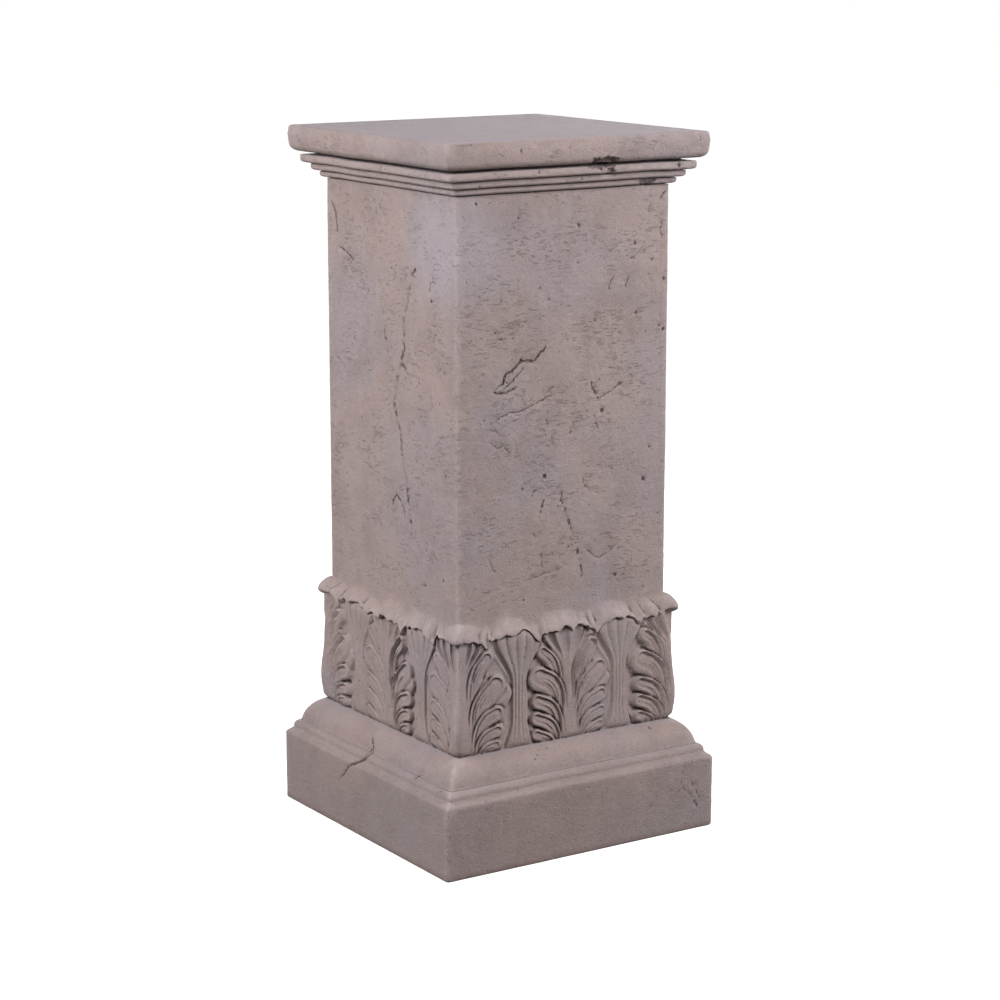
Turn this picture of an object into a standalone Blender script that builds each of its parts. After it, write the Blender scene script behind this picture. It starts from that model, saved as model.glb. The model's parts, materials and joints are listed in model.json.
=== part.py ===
"""Display pedestal, one stone casting: moulded base, carved leaf band, square shaft and moulded cap.

Metres, +Z up, origin at the centre of the underside. The four faces are alike in plan, so every
level of the pedestal is a square ring with rounded corners, and the carving pushes that ring out.
"""
import math

import bmesh
import bpy
import numpy as np

# Shaft, half its width and its height; every moulding steps out from it
SHAFT_HALF = 0.133
SHAFT_HEIGHT = 0.438

# Leaf band
BAND_HEIGHT = 0.146
CARVING_DEPTH = 0.0090

# Mouldings of the base from the leaf band down: how far each stands out from the one above it
LEDGE_STEP = 0.0065
OVOLO_STEP = 0.0200
OVOLO_HEIGHT = 0.0255
OVOLO_BULGE = 0.0042
QUIRK = 0.0015
BEAD_STEP = 0.0069
BEAD_HEIGHT = 0.0085
BEAD_FOOT = 0.0015
PLINTH_STEP = 0.0066
PLINTH_TOP_RISE = 0.0030
PLINTH_HEIGHT = 0.0815
PLINTH_FOOT_ARRIS = 0.0025
PLINTH_TOP_ARRIS = 0.0050

# Cap: three members, each standing out from the one below it, under a slab
MEMBER_STEPS = (0.0060, 0.0070, 0.0080)
MEMBER_HEIGHTS = (0.0061, 0.0070, 0.0102)
MEMBER_ROUND_OUT = 0.0050
MEMBER_ROUND_UP = 0.0030
MEMBER_ARRIS = 0.0006
GROOVE_HEIGHT = 0.0011
GROOVE_DEPTH = 0.0050
SLAB_STEP = 0.0090
SLAB_HEIGHT = 0.0283
SLAB_FOOT_ROUND = 0.0085
SLAB_TOP_ARRIS = 0.0030
SLAB_BELLY = 0.0010

# Rounding of the four upright corners
CORNER_ROUND = 0.0025
BAND_CORNER_ROUND = 0.0080

# Mesh: columns on a face, rows up the band, steps on an arc, and the triangles that are kept
COLUMNS = 120
BAND_ROWS = 64
ARC_STEPS = 5
SPINE_STEPS = 10
TRIANGLES = 9600

# The carving is drawn in millimetres on a face this wide and this high, and scaled to the band
DRAWN_HALF_FACE = 141.0
DRAWN_BAND = 146.0
DRAWN_DEPTH = 9.0
GROUND = 3.5

# Lobes of half a leaf, lowest first: spine root, bend and tip as (from the leaf's axis, above the
# foot), half widths over and under the spine, hollow depth
SHADED_LOBES = (
    ((12, -5), (27, 17), (42, 8.5), 6.6, 7.4, 2.0),
    ((11, 5), (23, 32), (43, 26), 7.8, 8.4, 2.2),
    ((11, 15), (21, 50), (43, 46.5), 8.2, 9.0, 2.8),
    ((11, 32), (18, 73), (44, 71), 12.5, 14.0, 3.4),
    ((10, 56), (17, 98), (39.5, 101), 8.0, 9.0, 2.8),
)
RISING_LOBES = (
    ((20, -5), (29, 17), (42, 8), 6.4, 7.2, 2.0),
    ((19, 5), (25, 30), (42, 23), 7.4, 8.4, 2.2),
    ((18, 12), (23, 48), (43, 44), 7.4, 9.0, 2.4),
    ((16, 16), (15, 73), (43, 71), 12.0, 14.0, 3.4),
    ((10.5, 16), (11, 86), (36, 103), 7.0, 8.5, 2.6),
)
LOBE_LEVEL = 4.4
RIM_HEIGHT = 1.0
CORNER_LEAF_WIDENING = 6.5
CORNER_BELLY = 3.3
LEAF_REACH = 66.0

# Flutes fan out at the top of each leaf: distance from its axis and half width under the lip
FLUTE_TOPS = ((-35, 5.0), (-22, 6.0), (-5, 8.0), (13, 7.0), (25, 5.0))
FLUTE_FOOT = 76.0
FLUTE_HEAD = 120.0

# Stalks between the leaves
STALK_CENTRES = (-66, 68)
STALK_REACH = 34.0

# Lower edge of the curled leaf tips, for the front and the side faces: place along the face, height,
# and how far the edge arches up before the next place
LIP_EDGES = (
    ((-141, 123, 4), (-113, 119, 2), (-103, 112, 6), (-98, 120, 2), (-88, 120, 3), (-68, 123, 1),
     (-53, 127, 1), (-37, 111, 5), (-29, 118, 3), (-14, 120, 6), (5, 117, 5), (20, 121, 1),
     (28, 116, 3), (36, 111, 2), (55, 123, 3), (68, 122, 2), (76, 123, 2), (94, 113, 4),
     (101, 117, 2), (110, 117, 4), (122, 121, 4), (141, 123, 0)),
    ((-141, 123, 3), (-112, 124, 2), (-103, 115, 5), (-92, 120, 4), (-76, 123, 4), (-52, 122, 3),
     (-38, 117, 3), (-25, 119, 1), (-14, 118, 5), (10, 121, 2), (20, 119, 4), (33, 111, 7),
     (46, 119, 3), (58, 122, 5), (78, 120, 2), (97, 113, 6), (108, 123, 2), (141, 123, 0)),
)
LIP_CREST = 8.2
LIP_CORNER_RISE = 1.6
LIP_TOP = 140.5
LIP_CORNER_TOP = 4.5
# Folds between the leaf tips: place along the face, half width, depth
LIP_FOLDS = ((-103, 5, 3.5), (-54, 4, 2.0), (22, 4, 2.2), (34, 5, 3.0), (98, 5, 3.5))

# Chips of the cap: face, centre along the face and above the shaft, half length, half height, depth
CHIPS = (
    (0, 0.026, 0.0300, 0.016, 0.0085, 0.0070),
    (0, 0.100, 0.0045, 0.011, 0.0045, 0.0045),
)
FACES = 4
SHARP_ANGLE = math.radians(35)

STONE_COLOUR = (0.32, 0.25, 0.24, 1.0)
STONE_ROUGHNESS = 0.85


def smooth(low, high, value):
    """0 below low, 1 above high, eased between them."""
    share = np.clip((value - low) / (high - low), 0.0, 1.0)
    return share * share * (3.0 - 2.0 * share)


def bump(distance, width):
    return np.exp(-(distance / width) ** 2)


def spine_coordinates(x, z, root, bend, tip):
    """Share along a curved spine and the distance from it, positive on its lower side."""
    steps = np.linspace(0.0, 1.0, SPINE_STEPS + 1)[:, None]
    root, bend, tip = (np.array(point, float) for point in (root, bend, tip))
    points = (1 - steps) ** 2 * root + 2 * steps * (1 - steps) * bend + steps ** 2 * tip
    nearest = np.full(x.shape, np.inf)
    share = np.zeros(x.shape)
    side = np.ones(x.shape)
    for index in range(SPINE_STEPS):
        start = points[index]
        run = points[index + 1] - start
        along = np.clip(((x - start[0]) * run[0] + (z - start[1]) * run[1]) / (run @ run), 0.0, 1.0)
        off_x = x - start[0] - along * run[0]
        off_z = z - start[1] - along * run[1]
        distance = np.hypot(off_x, off_z)
        closer = distance < nearest
        nearest = np.where(closer, distance, nearest)
        share = np.where(closer, (index + along) / SPINE_STEPS, share)
        side = np.where(closer, np.where(off_x * run[1] - off_z * run[0] < 0, -1.0, 1.0), side)
    return share, nearest * side


def lobe_relief(x, z, lobe):
    """A spoon-shaped lobe: a raised rim on its upper side, a hollow, and a thick rolled lower side."""
    root, bend, tip, above, below, depth = lobe
    share, across = spine_coordinates(x, z, root, bend, tip)
    swell = 0.22 + 0.78 * smooth(0.0, 0.72, share)
    width = np.where(across < 0, above, below)
    inset = width * swell - np.abs(across)
    hollow_width = width * swell * np.sqrt(np.clip(1 - (np.clip(share - 0.7, 0, None) / 0.3) ** 2, 0, 1))
    hollow_share = (across / np.maximum(hollow_width, 0.2) + 0.12) / 0.68
    grown = 0.3 + 0.7 * smooth(0.05, 0.5, share)
    wall = smooth(-1.0, -0.66, hollow_share)
    floor = np.clip(1 - (hollow_share + 0.66) / 1.66, 0.0, 1.0)
    relief = LOBE_LEVEL - 0.4 + smooth(0.3, 0.95, share)
    relief += grown * (RIM_HEIGHT * bump(hollow_share + 1.12, 0.22) - depth * wall * floor)
    relief -= np.where(across > 0, 1.6 * (1 - smooth(0.0, 4.5, inset)), 0.6 * (1 - smooth(0.0, 1.5, inset)))
    return relief * smooth(-0.5, 1.0, inset)


def half_leaf_relief(x, z, lobes):
    """Half an acanthus leaf: the body beside the midrib, the web behind the lobes, and the lobes."""
    web_edge = 12 + 22 * smooth(-6, 10, z) + 3 * smooth(50, 66, z) + 6 * smooth(84, 112, z)
    flank = 11 + 4 * (1 - smooth(-2, 30, z)) + 34 * smooth(74, 124, z) ** 1.2
    body = 2.4 * smooth(-3.0, 4.0, flank - x) + 0.5 * (1 - smooth(0, 12, x))
    relief = (3.1 + body) * smooth(0, 2.0, web_edge - x)
    for lobe in lobes:
        relief = np.maximum(relief, lobe_relief(x, z, lobe))
    return relief


def flute_depth(x, z):
    """Hollow flutes that rise from the midrib and open out under the lip."""
    opened = smooth(FLUTE_FOOT, FLUTE_HEAD, z)
    started = smooth(FLUTE_FOOT, FLUTE_FOOT + 0.7 * (FLUTE_HEAD - FLUTE_FOOT), z)
    depth = np.zeros(x.shape)
    for top, half in FLUTE_TOPS:
        line = top * (0.25 + 0.75 * opened ** 1.3)
        hollow = np.clip(1 - ((x - line) / (half * (0.4 + 0.6 * opened))) ** 2, 0.0, 1.0) ** 0.7
        depth = np.maximum(depth, 2.8 * started * hollow)
    return depth


def stalk_relief(x, z):
    """A reeded stalk with a flared foot, a narrow waist and a fan at the top."""
    half = 9 + 9 * (1 - smooth(-6, 36, z)) ** 1.3 + 20 * smooth(70, 120, z) ** 1.4
    share = x / half
    reeds = np.sqrt(np.abs(np.cos(share * math.pi * 1.5)))
    relief = 3.9 - 0.6 * share ** 2 + 1.3 * reeds * smooth(-4, 30, z) + 0.9 * (1 - smooth(0, 30, z))
    return relief * smooth(-0.3, 1.6, half - np.abs(x))


def lip_relief(u, z, edges):
    """The leaf tips, which curl out and down in one frill; their rounded back runs up to the shaft."""
    edge = np.zeros(u.shape)
    for (left, low, arch), (right, next_low, _) in zip(edges, edges[1:]):
        share = (u - left) / (right - left)
        span = low + (next_low - low) * share + 4 * arch * share * (1 - share)
        edge = np.where((share >= 0) & (share <= 1), span, edge)
    cornered = (np.abs(u) / DRAWN_HALF_FACE) ** 4
    crest = LIP_CREST + LIP_CORNER_RISE * cornered
    for place, half, depth in LIP_FOLDS:
        crest = crest - depth * bump(u - place, half)
    top = LIP_TOP + LIP_CORNER_TOP * cornered
    fall = np.clip((top - z) / (top - 124.0), 0.0, 1.0)
    back = (crest + GROUND) * np.sqrt(1 - (1 - fall) ** 2)
    return back * smooth(-0.5, 1.4, z - edge) - GROUND


def face_relief(u, z, edges):
    """Relief of one face over its ground, in drawn millimetres; u runs from corner to corner."""
    relief = np.zeros(u.shape)
    for axis in (-DRAWN_HALF_FACE, 0.0, DRAWN_HALF_FACE):
        widening = CORNER_LEAF_WIDENING if axis else 0.0
        for side, lobes in ((-1, SHADED_LOBES), (1, RISING_LOBES)):
            here = ((u - axis) * side >= 0) & ((u - axis) * side < LEAF_REACH)
            from_axis = np.maximum(np.abs(u[here] - axis) - widening, 0.0)
            leaf = half_leaf_relief(from_axis, z[here], lobes)
            leaf -= flute_depth(u[here] - axis, z[here]) * smooth(2, 3, leaf)
            relief[here] = np.maximum(relief[here], leaf)
    for centre in STALK_CENTRES:
        here = np.abs(u - centre) < STALK_REACH
        relief[here] = np.maximum(relief[here], stalk_relief(u[here] - centre, z[here]))
    from_corner = DRAWN_HALF_FACE - np.abs(u)
    relief += CORNER_BELLY * bump(z - 30, 26) * (1 - smooth(0, 34, from_corner))
    relief *= 0.45 + 0.55 * smooth(0, 7, z)
    relief -= (relief + GROUND) * smooth(114, 122, z)
    relief = np.maximum(relief, lip_relief(u, z, edges))
    return relief + GROUND


def arc(centre, radius_out, radius_up, start, end, steps=ARC_STEPS):
    """Points (half width, height) on an arc, angles in degrees from straight out."""
    angles = [math.radians(start + (end - start) * step / steps) for step in range(steps + 1)]
    return [(centre[0] + radius_out * math.cos(a), centre[1] + radius_up * math.sin(a)) for a in angles]


def base_profile():
    """Underside to the ledge under the leaves."""
    bead_foot = PLINTH_HEIGHT + PLINTH_TOP_RISE
    ovolo_foot = bead_foot + BEAD_HEIGHT + QUIRK
    ledge = ovolo_foot + OVOLO_HEIGHT
    ovolo_half = SHAFT_HALF + LEDGE_STEP + OVOLO_STEP
    bead_half = ovolo_half + BEAD_STEP
    plinth_half = bead_half + PLINTH_STEP
    foot = PLINTH_FOOT_ARRIS
    arris = PLINTH_TOP_ARRIS
    points = arc((plinth_half - foot, foot), foot, foot, -90, 0, 3)
    points += arc((plinth_half - arris, PLINTH_HEIGHT - arris), arris, arris, 0, 72, 4)
    points.append((bead_half, bead_foot))
    points += arc((ovolo_half, bead_foot + BEAD_FOOT), BEAD_STEP, BEAD_HEIGHT - BEAD_FOOT, 0, 85)
    points.append((ovolo_half - QUIRK, ovolo_foot - 0.4 * QUIRK))
    length = math.hypot(OVOLO_STEP, OVOLO_HEIGHT)
    for step in range(ARC_STEPS * 2 + 1):
        share = step / (ARC_STEPS * 2)
        bulge = 4 * OVOLO_BULGE * share * (1 - share)
        points.append((ovolo_half - OVOLO_STEP * share + bulge * OVOLO_HEIGHT / length,
                       ovolo_foot + OVOLO_HEIGHT * share + bulge * OVOLO_STEP / length))
    return points, ledge


def groove(half, height):
    """The thin groove on top of a member of this half width."""
    floor = half - GROOVE_DEPTH
    return [(floor, height + 0.2 * GROOVE_HEIGHT), (floor, height + GROOVE_HEIGHT)]


def cap_profile(shaft_top):
    """Top of the shaft to the top of the slab; a thin groove parts each member from the one below."""
    points = [(SHAFT_HALF, shaft_top - MEMBER_HEIGHTS[0]), (SHAFT_HALF, shaft_top)]
    height = shaft_top
    half = SHAFT_HALF
    out, up = MEMBER_ROUND_OUT, MEMBER_ROUND_UP
    for step, tall in zip(MEMBER_STEPS, MEMBER_HEIGHTS):
        points += groove(half, height)
        height += GROOVE_HEIGHT
        half += step
        points += arc((half - out, height + up), out, up, -90, 0, 4)
        points += [(half, height + tall - MEMBER_ARRIS), (half - MEMBER_ARRIS, height + tall)]
        height += tall
    points += groove(half, height)
    height += GROOVE_HEIGHT
    half += SLAB_STEP
    top = height + SLAB_HEIGHT
    foot = SLAB_FOOT_ROUND
    arris = SLAB_TOP_ARRIS
    points += arc((half - foot, height + foot), foot, foot, -90, 0)
    points.append((half + SLAB_BELLY, (height + foot + top) / 2))
    points += arc((half - arris, top - arris), arris, arris, 0, 90, 3)
    return points


def chip_depth(face, along, over_shaft):
    """How far the chips bite into a face at these places, at a height over the shaft's top."""
    depth = np.zeros(along.shape)
    for chip_face, centre, level, half_length, half_height, deepest in CHIPS:
        if chip_face == face:
            reach = 1 - ((along - centre) / half_length) ** 2 - ((over_shaft - level) / half_height) ** 2
            depth = np.maximum(depth, deepest * np.sqrt(np.clip(reach, 0.0, 1.0)))
    return depth


def ring_point(share, half, corner):
    """Place on a square ring with rounded corners; share runs from -1 to 1 across one face."""
    reach = np.abs(share) * half
    turned = np.clip(reach - (half - corner), 0.0, None)
    angle = turned / corner * math.pi / 4
    along = np.sign(share) * (reach - turned + corner * np.sin(angle))
    return along, half - corner + corner * np.cos(angle)


def pedestal_rows():
    """Every ring from the underside up: height, half widths of a front and a side face, rounding."""
    shares = np.linspace(-1.0, 1.0, COLUMNS, endpoint=False)
    level = np.ones(COLUMNS)
    base, ledge = base_profile()
    rows = [(height, (half * level, half * level), CORNER_ROUND) for half, height in base]
    to_band = BAND_HEIGHT / DRAWN_BAND
    for row in range(BAND_ROWS):
        drawn = 0.4 + (DRAWN_BAND - 0.4) * row / BAND_ROWS
        across = shares * DRAWN_HALF_FACE
        reliefs = [face_relief(across, np.full(COLUMNS, drawn), edges) for edges in LIP_EDGES]
        halves = [SHAFT_HALF + relief * CARVING_DEPTH / DRAWN_DEPTH for relief in reliefs]
        corner = BAND_CORNER_ROUND + (CORNER_ROUND - BAND_CORNER_ROUND) * smooth(116, DRAWN_BAND, drawn)
        rows.append((ledge + drawn * to_band, halves, corner))
    shaft_foot = ledge + BAND_HEIGHT
    rows.append((shaft_foot, (SHAFT_HALF * level, SHAFT_HALF * level), CORNER_ROUND))
    shaft_top = shaft_foot + SHAFT_HEIGHT
    rows += [(height, (half * level, half * level), CORNER_ROUND) for half, height in cap_profile(shaft_top)]
    return shares, rows, shaft_top


def pedestal_mesh():
    """Stack the rings, close the underside and the top, and return one closed mesh."""
    shares, rows, shaft_top = pedestal_rows()
    vertices = []
    for height, halves, corner in rows:
        for face in range(FACES):
            half = halves[face % 2]
            bitten = half - chip_depth(face, shares * half, height - shaft_top)
            along, out = ring_point(shares, bitten, corner)
            turn = face * 2 * math.pi / FACES
            x = along * math.cos(turn) + out * math.sin(turn)
            y = along * math.sin(turn) - out * math.cos(turn)
            vertices += list(zip(x, y, np.full(COLUMNS, height)))
    around = COLUMNS * FACES
    faces = []
    for row in range(len(rows) - 1):
        for column in range(around):
            beside = (column + 1) % around
            faces.append((row * around + column, row * around + beside,
                          (row + 1) * around + beside, (row + 1) * around + column))
    faces.append(tuple(reversed(range(around))))
    faces.append(tuple(range((len(rows) - 1) * around, len(rows) * around)))
    mesh = bpy.data.meshes.new("pedestal")
    mesh.from_pydata(vertices, [], faces)
    return mesh


def stone_material():
    material = bpy.data.materials.new("cast_stone")
    material.use_nodes = True
    shader = material.node_tree.nodes["Principled BSDF"]
    shader.inputs["Base Color"].default_value = STONE_COLOUR
    shader.inputs["Roughness"].default_value = STONE_ROUGHNESS
    shader.inputs["Metallic"].default_value = 0.0
    return material


def build():
    for thing in list(bpy.data.objects):
        bpy.data.objects.remove(thing, do_unlink=True)
    mesh = pedestal_mesh()
    mesh.materials.append(stone_material())
    mesh.shade_smooth()
    mesh.set_sharp_from_angle(angle=SHARP_ANGLE)
    pedestal = bpy.data.objects.new("pedestal", mesh)
    bpy.context.scene.collection.objects.link(pedestal)
    counter = bmesh.new()
    counter.from_mesh(mesh)
    drawn_triangles = len(counter.calc_loop_triangles())
    counter.free()
    fewer = pedestal.modifiers.new("fewer_faces", "DECIMATE")
    fewer.ratio = min(1.0, TRIANGLES / drawn_triangles)


build()
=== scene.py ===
"""Display pedestal in weathered cast stone: the fine carving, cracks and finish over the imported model.

Metres, +Z up, origin at the centre of the underside. The pedestal is a stack of square rings with
rounded corners. The carving and the damage push each ring in or out.
"""
import itertools
import json
import math

import bpy
import numpy as np
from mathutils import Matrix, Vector

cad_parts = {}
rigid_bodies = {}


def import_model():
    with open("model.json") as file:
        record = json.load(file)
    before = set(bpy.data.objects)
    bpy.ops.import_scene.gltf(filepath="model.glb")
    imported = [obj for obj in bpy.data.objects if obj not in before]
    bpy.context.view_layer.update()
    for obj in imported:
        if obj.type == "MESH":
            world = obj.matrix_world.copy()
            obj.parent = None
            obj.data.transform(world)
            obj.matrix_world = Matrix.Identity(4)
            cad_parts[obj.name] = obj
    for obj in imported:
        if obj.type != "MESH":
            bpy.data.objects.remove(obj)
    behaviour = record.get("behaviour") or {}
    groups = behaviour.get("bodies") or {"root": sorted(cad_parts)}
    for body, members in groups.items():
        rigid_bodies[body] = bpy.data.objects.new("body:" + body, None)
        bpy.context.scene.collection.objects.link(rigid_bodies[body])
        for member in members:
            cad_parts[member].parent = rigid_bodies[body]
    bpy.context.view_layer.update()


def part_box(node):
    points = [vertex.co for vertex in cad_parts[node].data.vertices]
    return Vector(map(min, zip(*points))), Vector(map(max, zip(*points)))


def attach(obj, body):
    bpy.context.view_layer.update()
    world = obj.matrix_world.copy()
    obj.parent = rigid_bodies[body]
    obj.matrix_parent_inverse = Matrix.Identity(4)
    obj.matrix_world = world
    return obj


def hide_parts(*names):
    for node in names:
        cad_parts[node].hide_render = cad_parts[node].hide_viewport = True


# Shaft, half its width and its height; every moulding steps out from it
SHAFT_HALF = 0.133
SHAFT_HEIGHT = 0.438

# Leaf band
BAND_HEIGHT = 0.146
CARVING_DEPTH = 0.0090

# Mouldings of the base from the leaf band down: how far each stands out from the one above it
LEDGE_STEP = 0.0065
OVOLO_STEP = 0.0200
OVOLO_HEIGHT = 0.0255
OVOLO_BULGE = 0.0042
QUIRK = 0.0015
BEAD_STEP = 0.0069
BEAD_HEIGHT = 0.0085
BEAD_FOOT = 0.0015
PLINTH_STEP = 0.0066
PLINTH_TOP_RISE = 0.0030
PLINTH_HEIGHT = 0.0815
PLINTH_FOOT_ARRIS = 0.0025
PLINTH_TOP_ARRIS = 0.0050

# Cap: three members, each standing out from the one below it, under a slab
MEMBER_STEPS = (0.0060, 0.0070, 0.0080)
MEMBER_HEIGHTS = (0.0061, 0.0070, 0.0087)
MEMBER_ROUND_OUT = 0.0050
MEMBER_ROUND_UP = 0.0030
MEMBER_ARRIS = 0.0006
GROOVE_HEIGHT = 0.0011
GROOVE_DEPTH = 0.0050
SLAB_GROOVE_HEIGHT = 0.0034
SLAB_GROOVE_DEPTH = 0.0120
SLAB_STEP = 0.0090
SLAB_HEIGHT = 0.0275
SLAB_FOOT_ROUND = 0.0085
SLAB_TOP_ARRIS = 0.0030
SLAB_BELLY = 0.0010

# Rounding of the four upright corners
CORNER_ROUND = 0.0038
BAND_CORNER_ROUND = 0.0080

# Mesh: columns on a face, row spacing, steps on an arc, and the triangles that are kept
FACES = 4
COLUMNS = 340
BAND_SPACING = 0.00085
SHAFT_SPACING = 0.0012
PLAIN_SPACING = 0.0022
ARC_STEPS = 8
SPAN_STEPS = 6
TRIANGLES = 190000

# The carving is drawn in millimetres on a face this wide and this high, and scaled to the band
DRAWN_HALF_FACE = 141.0
DRAWN_BAND = 146.0
DRAWN_DEPTH = 9.0
GROUND = 3.5

# Lobes of half a leaf, highest first, because each covers the foot of the one above it: spine from
# root to tip as (from the leaf's axis, above the foot), half widths over and under the spine, width
# of the roll outside the rim on the lower side, hollow depth
SHADED_LOBES = (
    (((9, 34), (13, 66), (21, 88), (33, 99)), 8.0, 8.0, 3.5, 2.2),
    (((8, 4), (12, 38), (22, 60), (38, 70)), 14.0, 13.0, 6.5, 2.6),
    (((8, -14), (12, 15), (22, 36), (39, 45)), 9.5, 8.0, 3.2, 2.6),
    (((8, -26), (13, 0), (23, 18), (40, 27)), 8.2, 7.6, 3.0, 2.3),
    (((9, -30), (15, -12), (25, 2), (40, 10)), 6.6, 7.2, 3.0, 2.0),
)
RISING_LOBES = (
    (((8, 20), (12, 60), (19, 84), (31, 100)), 8.5, 8.5, 3.0, 2.2),
    (((16, 14), (28, 34), (38, 48), (46, 60)), 8.0, 10.0, 6.0, 0.0),
    (((12, 14), (17, 40), (27, 58), (41, 71)), 11.5, 10.5, 2.5, 2.8),
    (((13, -4), (18, 18), (28, 35), (43, 42)), 8.0, 9.0, 2.5, 2.4),
    (((15, -8), (20, 7), (30, 19), (43, 24)), 7.0, 8.0, 2.5, 2.2),
    (((18, -14), (24, -3), (32, 5), (42, 9)), 6.0, 7.0, 2.5, 1.8),
)
CORNER_RISING_LOBES = (
    (((8, 40), (13, 70), (21, 90), (32, 102)), 9.0, 8.0, 3.0, 2.4),
    (((16, 14), (30, 36), (41, 50), (50, 62)), 9.0, 13.5, 7.0, 0.0),
    (((12, 14), (18, 40), (29, 58), (43, 71)), 12.5, 11.5, 2.5, 2.9),
    (((13, -4), (19, 19), (30, 36), (44, 42)), 8.0, 9.5, 2.5, 2.4),
    (((15, -8), (21, 7), (31, 18), (45, 23)), 7.0, 8.0, 2.5, 2.2),
    (((18, -14), (23, -3), (32, 5), (43, 8)), 6.0, 7.0, 2.5, 1.8),
)
# Lines cut beside the lobes, from root to tip: points, ridge above the line, drop below it, reach
SHADED_CUTS = (
    (((10, 60), (15, 71), (22, 79), (31, 85)), 0.9, 1.3, 1.5),
    (((9, 72), (12, 88), (17, 100), (22, 108)), 0.7, 1.0, 1.5),
)
RISING_CUTS = (
    (((8, 10), (9.5, 50), (11, 76), (15, 88), (22, 97), (27, 104), (28.5, 113)), 1.9, 2.4, 3.0),
    (((15, 14), (18, 50), (20, 71), (24, 84), (32, 91), (37, 98), (36, 108), (42, 116)), 2.0, 2.6, 2.6),
    (((19, 36), (23, 50), (29, 60), (37, 67)), 0.8, 1.0, 1.3),
)
CORNER_RISING_CUTS = (
    (((16, 66), (23, 76), (31, 83.5), (38, 86), (45, 82)), 1.1, 1.6, 2.0),
    (((9, 60), (13, 84), (17, 100), (22, 112)), 0.8, 1.2, 2.0),
)
LEAF_LEVEL = 4.4
RIM_INSET = 1.5
RIM_HEIGHT = 1.1
RIM_HALF = 1.15
NESTED_SPACING = 3.6
NESTED_HEIGHT = 1.4
GAP_DEPTH = 2.0
MOAT_DEPTH = 0.9
CORNER_LEAF_WIDENING = 6.5
CORNER_BELLY = 3.3
LEAF_REACH = 72.0
# On the side faces the left half of each leaf is cut less deeply
FAINTNESS = (1.0, 0.45)
FAINT_LEVEL = 3.2

# Flutes fan out at the top of each leaf: distance from its axis and half width under the lip
FLUTE_TOPS = ((-35, 4.5), (-22, 5.6), (-5, 7.6), (13, 6.4), (25, 4.6))
FLUTE_FOOT = 76.0
FLUTE_HEAD = 120.0

# Stalks between the leaves: centres, reach, and reeds by place across the stalk
STALK_CENTRES = (-62, 69)
STALK_REACH = 40.0
STALK_REEDS = (-0.78, -0.34, 0.1, 0.52, 0.88)

# Lower edge of the curled leaf tips, for the front and the side faces: place along the face, height,
# and how far the edge arches up before the next place
LIP_EDGES = (
    ((-141, 123, 4), (-113, 119, 2), (-103, 112, 6), (-98, 120, 2), (-88, 120, 3), (-68, 123, 1),
     (-53, 127, 1), (-37, 111, 5), (-29, 118, 3), (-14, 120, 6), (5, 117, 5), (20, 121, 1),
     (28, 116, 3), (36, 111, 2), (55, 123, 3), (68, 122, 2), (76, 123, 2), (94, 113, 4),
     (101, 117, 2), (110, 117, 4), (122, 121, 4), (141, 123, 0)),
    ((-141, 123, 3), (-112, 124, 2), (-103, 115, 5), (-92, 120, 4), (-76, 123, 4), (-52, 122, 3),
     (-38, 117, 3), (-25, 119, 1), (-14, 118, 5), (10, 121, 2), (20, 119, 4), (33, 111, 7),
     (46, 119, 3), (58, 122, 5), (78, 120, 2), (97, 113, 6), (108, 123, 2), (141, 123, 0)),
)
# Curled tips: centre, half width, how far each stands out, and the height of its back
LIP_PETALS = (
    ((-141, 31, 9.6, 141.0), (-106, 10, 7.0, 134.0), (-77, 25, 9.2, 141.5), (-40, 12, 6.6, 134.0),
     (-14, 34, 9.2, 141.0), (22, 9, 7.4, 135.0), (33, 7, 6.8, 136.0), (62, 29, 9.2, 141.5),
     (95, 8, 6.4, 138.0), (110, 13, 8.4, 139.0), (141, 24, 9.6, 141.5)),
    ((-141, 24, 9.6, 141.5), (-111, 13, 8.0, 138.0), (-76, 28, 8.8, 141.0), (-42, 13, 7.0, 136.0),
     (2, 26, 9.4, 142.0), (30, 13, 7.0, 135.0), (58, 24, 8.8, 140.5), (84, 14, 8.4, 140.0),
     (108, 13, 7.0, 136.0), (141, 31, 9.6, 141.0)),
)
FRILL_CREST = 5.6
FRILL_TOP = 131.0

# Chips of the cap: face, centre along the face and above the underside, half length, half height
# and depth, all in millimetres
CHIPS = (
    (0, 30, 732, 17, 7.0, 8.0),
    (0, 42, 723, 6, 4.0, 4.0),
    (0, 100, 708.5, 11, 4.5, 6.0),
)

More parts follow.
